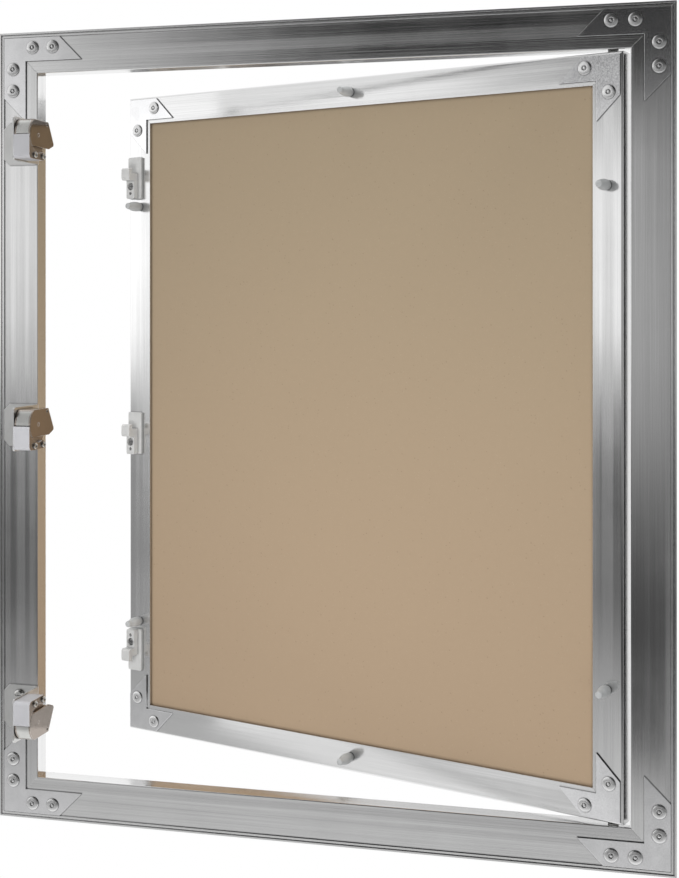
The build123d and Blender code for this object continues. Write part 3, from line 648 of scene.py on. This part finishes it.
LOOKS = {
    "panel_profile": ProfileLook,
    "panel_board": BoardLook,
    "panel_latch": LatchLook,
    "panel_studio": StudioLook,
}


# Operators


class PANEL_OT_profiles(bpy.types.Operator):
    """Give the frame and the door their drawn aluminium"""

    bl_idname = "access_panel.profiles"
    bl_label = "Profiles"

    def execute(self, context):
        look = context.scene.panel_profile
        for owner, turn in (("frame", 0.0), ("door", OPEN_TURN)):
            for side in SIDES:
                upright = side.startswith("stile")
                name = "Drawn Aluminium " + owner.title() + (" Stile" if upright else " Rail")
                material = bpy.data.materials.get(name) or drawn_aluminium(name, look, turn, upright)
                paint(owner + "_" + side, material)
        return {"FINISHED"}


class PANEL_OT_corner_plates(bpy.types.Operator):
    """Give the corner plates their smooth sheet"""

    bl_idname = "access_panel.corner_plates"
    bl_label = "Corner Plates"

    def execute(self, context):
        look = context.scene.panel_profile
        sheet = sheet_metal("Corner Plate Sheet", look.plate_colour, look.plate_roughness, 900.0, 0.05)
        for corner in CORNERS:
            paint("frame_plate_" + corner, sheet)
            paint("door_plate_" + corner, sheet)
        return {"FINISHED"}


class PANEL_OT_fasteners(bpy.types.Operator):
    """Give the rivets, screws and hinge pins their metal"""

    bl_idname = "access_panel.fasteners"
    bl_label = "Rivets, Screws and Hinge"

    def execute(self, context):
        look = context.scene.panel_profile
        rivet = sheet_metal("Rivet Aluminium", look.rivet_colour, 0.3, 1600.0, 0.05)
        zinc = sheet_metal("Zinc Plated Steel", (0.70, 0.70, 0.68), 0.28, 1300.0, 0.08)
        black = sheet_metal("Black Phosphate Steel", (0.06, 0.06, 0.065), 0.5, 1500.0, 0.2)
        self.add_rivets(rivet)
        # The striker screws' dull zinc is darkened well below the other zinc, painting the shade round their sunk
        # heads.
        self.add_striker_screws(sheet_metal("Dull Zinc Darkened For Shade", (0.40, 0.40, 0.40), 0.35, 1300.0, 0.12))
        for name in ("hinge_pin_top", "hinge_pin_bottom", "bracket_screws"):
            paint(name, zinc)
        self.add_board_screws(black)
        acetal = moulded("Bush Acetal", (0.78, 0.78, 0.75), 0.45)
        for name in ("hinge_bush_top", "hinge_bush_bottom"):
            paint(name, acetal)
        return {"FINISHED"}

    def add_rivets(self, metal):
        """Blind rivets with a domed rim, a rolled eye and the broken end of the mandrel in it."""
        shape = bmesh.new()
        for x, z in rivet_places(FRAME_PLATE_CORNER, FRAME_RIVET_ALONG, FRAME_RIVET_ACROSS):
            add_turned(shape, RIVET_OUTLINE, on_closed_panel(x, PLATE_TOP, z))
        add_piece("frame_blind_rivets", shape, metal, "frame", "rivet", "frame_rivets")
        shape = bmesh.new()
        for x, z in rivet_places(DOOR_PLATE_CORNER, DOOR_RIVET_ALONG, DOOR_RIVET_ACROSS):
            add_turned(shape, RIVET_OUTLINE, on_open_door(x, PLATE_TOP, z))
        add_piece("door_blind_rivets", shape, metal, "door", "rivet", "door_rivets")

    def add_board_screws(self, metal):
        shape = bmesh.new()
        for x, z in BOARD_SCREW_PLACES:
            add_turned(shape, BOARD_SCREW_OUTLINE, on_open_door(x, DOOR_FACE, z))
        add_piece("board_fixing_screws", shape, metal, "door", "board_screw", "board_screws")

    def add_striker_screws(self, metal):
        shape = bmesh.new()
        for number, middle, turn in LATCHES:
            place = on_open_door(STRIKER_SCREW_X, STRIKER_SCREW_TOP, middle - turn * STRIKER_SCREW_DROP)
            add_turned(shape, STRIKER_SCREW_OUTLINE, place, cross_recess)
        add_piece("striker_fixing_screws", shape, metal, "door", "bracket_screw", "striker_screws")


class PANEL_OT_board(bpy.types.Operator):
    """Give the door its kraft board and the caps over the screw tips"""

    bl_idname = "access_panel.board"
    bl_label = "Board and Caps"

    def execute(self, context):
        look = context.scene.panel_board
        paint("drywall_board", kraft_board(look))
        # The caps' creases get a lighter painted shade.
        grey_cap = moulded("Cap Plastic", look.cap_colour, 0.4, painted_shade_amount=0.25)
        for number, (x, z) in enumerate(BOARD_SCREW_PLACES, 1):
            shape = bmesh.new()
            add_turned(shape, CAP_OUTLINE, on_open_door(x, CAP_SEAT, z))
            add_piece("tip_cap_%d" % number, shape, grey_cap, "door", "tip_cap", "screw_cap_%d" % number)
        return {"FINISHED"}


class PANEL_OT_latches(bpy.types.Operator):
    """Give the three latches and their strikers their metals and plastics"""

    bl_idname = "access_panel.latches"
    bl_label = "Latches and Strikers"

    def execute(self, context):
        look = context.scene.panel_latch
        nickel = sheet_metal("Nickel Plate", look.nickel_colour, 0.07, 700.0, 0.05, 0.0007)
        wrap = sheet_metal("Brushed Nickel", look.wrap_colour, 0.3, 420.0, 0.12, 0.0006)
        spring = sheet_metal("Spring Wire", (0.75, 0.74, 0.72), 0.2, 2000.0, 0.05)
        pin = sheet_metal("Pin Steel", (0.72, 0.72, 0.70), 0.25, 1500.0, 0.06)
        bracket = sheet_metal("Bracket Zinc", look.bracket_colour, 0.34, 800.0, 0.05)
        casting = latch_casting(look)
        striker = moulded("Striker Plastic", look.striker_colour, 0.4)
        finishes = {
            "latch_jaw": nickel,
            "latch_spring": spring,
            "latch_pivot_pin": nickel,
            "latch_studs": pin,
            "latch_bracket": bracket,
            "latch_housing": casting,
            "striker": striker,
        }
        for number, middle, turn in LATCHES:
            for name, material in finishes.items():
                paint("%s_%d" % (name, number), material)
            self.add_heel_wrap(number, middle, turn, wrap)
            self.add_stud_cups(number, middle, turn, pin)
        return {"FINISHED"}

    def add_heel_wrap(self, number, middle, turn, metal):
        """The web that closes the jaw's heel, bent round the pivot between the cheeks."""
        shape = bmesh.new()
        rings = []
        for step in range(WRAP_STEPS + 1):
            angle = WRAP_FROM + (WRAP_TO - WRAP_FROM) * step / WRAP_STEPS
            ring = []
            for radius, x in (
                (WRAP_RADIUS, JAW_INSIDE[0]),
                (WRAP_RADIUS, JAW_INSIDE[1]),
                (WRAP_RADIUS - WRAP_THICKNESS, JAW_INSIDE[1]),
                (WRAP_RADIUS - WRAP_THICKNESS, JAW_INSIDE[0]),
            ):
                y = PIVOT_DEPTH + radius * math.cos(angle)
                z = middle + turn * (PIVOT_HEIGHT + radius * math.sin(angle))
                ring.append(shape.verts.new(Vector((x, y, z)) * MM))
            rings.append(ring)
        for low, high in zip(rings, rings[1:]):
            for side in range(4):
                after = (side + 1) % 4
                shape.faces.new((low[side], high[side], high[after], low[after]))
        shape.faces.new(rings[0])
        shape.faces.new(rings[-1][::-1])
        add_piece("latch_heel_web_%d" % number, shape, metal, "jaw_%d" % number, "nickel")

    def add_stud_cups(self, number, middle, turn, metal):
        """The spun-over ends of the two studs, hollow in the middle."""
        shape = bmesh.new()
        for depth in STUD_DEPTHS:
            spot = on_closed_panel(STUD_FACE, depth, middle - turn * STUD_DROP)
            add_turned(shape, STUD_CUP_OUTLINE, spot @ Matrix.Rotation(math.radians(90), 4, "Z"))
        add_piece("latch_stud_cups_%d" % number, shape, metal, "frame", "steel_pin")


def seen_directly(tree):
    """A mask of the rays that see a backdrop: from the camera, off metal and through glass."""
    path = add(tree, "ShaderNodeLightPath").outputs
    mirrored = maths(tree, "MAXIMUM", path["Is Glossy Ray"], path["Is Transmission Ray"])
    return path["Is Camera Ray"], mirrored


def room_level(tree, way, x, z):
    """How bright the room before the panel looks from it: a lit band at eye height, brighter to one
    side, over a dark strip and a pale floor, with a darker ceiling and one dark flag by the band."""
    side = stepped(tree, x, 0.0, 1.0, smooth=False)
    lit = maths(tree, "ADD", 0.33, maths(tree, "MULTIPLY", side, 1.08))
    dark = maths(tree, "ADD", 0.058, maths(tree, "MULTIPLY", side, 0.085))
    dark = maths(tree, "ADD", dark, stepped(tree, x, 0.62, 0.9, 0.0, 0.16))
    ceiling = stepped(tree, x, 0.26, 0.6, 0.02, 0.85)
    floor = maths(tree, "ADD", 0.59, near_way(tree, way, (0.655, 0.68, -0.33), 0.02, 0.13, 0.25, 0.0))
    rise = stepped(tree, z, stepped(tree, x, 0.05, 0.5, -0.21, -0.082, False), -0.02)
    level = between(tree, rise, dark, lit)
    level = between(tree, stepped(tree, z, 0.115, 0.17), level, ceiling)
    sink = stepped(tree, z, stepped(tree, x, 0.05, 0.5, -0.29, -0.19, False), -0.34)
    level = between(tree, sink, level, floor)
    return maths(tree, "MULTIPLY", level, near_way(tree, way, (0.63, 0.757, 0.185), 0.02, 0.12, 0.3, 1.0))


def near_way(tree, way, target, low, high, to_low, to_high):
    """A value that changes with the distance of a direction from another."""
    apart = add(tree, "ShaderNodeVectorMath", {0: way, 1: target}, operation="DISTANCE").outputs["Value"]
    return stepped(tree, apart, low, high, to_low, to_high)


def between(tree, factor, first, second):
    """A value between two others."""
    return add(tree, "ShaderNodeMix", {0: factor, 2: first, 3: second}, data_type="FLOAT").outputs[0]


class PANEL_OT_studio(bpy.types.Operator):
    """Set up the floor, the soft lamps, the surroundings and the camera"""

    bl_idname = "access_panel.studio"
    bl_label = "Studio"

    def execute(self, context):
        look = context.scene.panel_studio
        self.add_floor(look)
        self.add_surroundings(context.scene, look)
        self.add_lamp("Key Softbox", (0.18, 0.545, -0.08), 0.35, look.key_power)
        self.add_lamp("Fill Softbox", (-0.9, 1.3, -0.4), 1.2, look.fill_power)
        self.add_lamp("Top Softbox", (0.0, -0.4, 2.6), 2.4, look.top_power)
        self.add_camera(context.scene)
        context.scene.view_settings.view_transform = "Standard"
        return {"FINISHED"}

    def add_floor(self, look):
        level = CAD_BOX[0][2] - look.floor_drop
        mesh = bpy.data.meshes.new("Floor")
        shape = bmesh.new()
        bmesh.ops.create_grid(shape, x_segments=8, y_segments=8, size=FLOOR_HALF)
        bmesh.ops.translate(shape, verts=shape.verts, vec=(0, FLOOR_FRONT - FLOOR_HALF, level))
        shape.to_mesh(mesh)
        shape.free()
        floor = bpy.data.objects.new("Floor", mesh)
        bpy.context.scene.collection.objects.link(floor)
        material, tree, shader, place = new_material("Studio Floor")
        patches = use_group(tree, "Clouds", {"Vector": place, "Scale": 1.5, "Contrast": 0.5})
        tone = list(look.floor_colour) + [1.0]
        low = [c * 0.99 for c in look.floor_colour] + [1.0]
        tree.links.new(blend_colours(tree, patches["Mask"], low, tone), shader.inputs["Base Color"])
        shader.inputs["Roughness"].default_value = 0.9
        straight, mirrored = seen_directly(tree)
        straight = maths(tree, "MAXIMUM", straight, mirrored)
        glow = add(tree, "ShaderNodeEmission", {"Strength": 1.0}).outputs[0]
        mixed = add(tree, "ShaderNodeMixShader", {0: maths(tree, "MULTIPLY", straight, 0.92), 1: shader.outputs[0], 2: glow})
        tree.links.new(mixed.outputs[0], tree.nodes["Material Output"].inputs["Surface"])
        mesh.materials.append(material)

    def add_surroundings(self, scene, look):
        """White all round to the camera, and behind the panel to its metal, which shows the room before it."""
        world = bpy.data.worlds.new("Studio Surroundings")
        scene.world = world
        world.use_nodes = True
        tree = world.node_tree
        way = add(tree, "ShaderNodeTexCoord").outputs["Generated"]
        parts = add(tree, "ShaderNodeSeparateXYZ", {0: way}).outputs
        behind = stepped(tree, parts[1], 0.25, -0.15)
        room = between(tree, behind, room_level(tree, way, parts[0], parts[2]), 1.0)
        straight, mirrored = seen_directly(tree)
        strength = between(tree, mirrored, look.ambient, room)
        strength = maths(tree, "MAXIMUM", strength, straight)
        back = tree.nodes["Background"]
        back.inputs["Color"].default_value = grey(1.0)
        tree.links.new(strength, back.inputs["Strength"])

    def add_lamp(self, name, place, size, power):
        lamp = bpy.data.lights.new(name, "AREA")
        lamp.shape = "DISK"
        lamp.size = size
        lamp.energy = power
        holder = bpy.data.objects.new(name, lamp)
        holder.location = place
        holder.rotation_euler = (-Vector(place)).to_track_quat("-Z", "Y").to_euler()
        holder.visible_glossy = False
        holder.visible_camera = False
        bpy.context.scene.collection.objects.link(holder)

    def add_camera(self, scene):
        camera = bpy.data.cameras.new("Camera")
        camera.sensor_fit = "AUTO"
        camera.sensor_width = 36.0
        camera.lens = 36.0 * 1401.18 / 878
        camera.shift_x = -0.0689
        camera.shift_y = -0.1513
        camera.clip_start = 0.01
        holder = bpy.data.objects.new("Camera", camera)
        yaw = math.radians(13.4356)
        forward = Vector((math.sin(yaw), -math.cos(yaw), 0.0))
        holder.location = (-0.32799, 1.09196, 0.10151)
        holder.rotation_euler = forward.to_track_quat("-Z", "Y").to_euler()
        scene.collection.objects.link(holder)
        scene.camera = holder


class PANEL_PT_sidebar(bpy.types.Panel):
    """The steps that dress the access panel"""

    bl_label = "Access Panel"
    bl_space_type = "VIEW_3D"
    bl_region_type = "UI"
    bl_category = "Access Panel"

    def draw(self, context):
        for step in STEPS:
            self.layout.operator(step.bl_idname)
        for name, look in LOOKS.items():
            box = self.layout.box()
            for setting in look.__annotations__:
                box.prop(getattr(context.scene, name), setting)


STEPS = (
    PANEL_OT_profiles,
    PANEL_OT_corner_plates,
    PANEL_OT_fasteners,
    PANEL_OT_board,
    PANEL_OT_latches,
    PANEL_OT_studio,
)
CLASSES = tuple(LOOKS.values()) + STEPS + (PANEL_PT_sidebar,)


def register():
    for one in CLASSES:
        bpy.utils.register_class(one)
    for name, look in LOOKS.items():
        setattr(bpy.types.Scene, name, bpy.props.PointerProperty(type=look))


def unregister():
    for name in LOOKS:
        delattr(bpy.types.Scene, name)
    for one in reversed(CLASSES):
        bpy.utils.unregister_class(one)


def main():
    register()
    build_groups()
    steps = bpy.ops.access_panel
    steps.profiles()
    steps.corner_plates()
    steps.fasteners()
    steps.board()
    steps.latches()
    steps.studio()


if __name__ == "__main__":
    main()
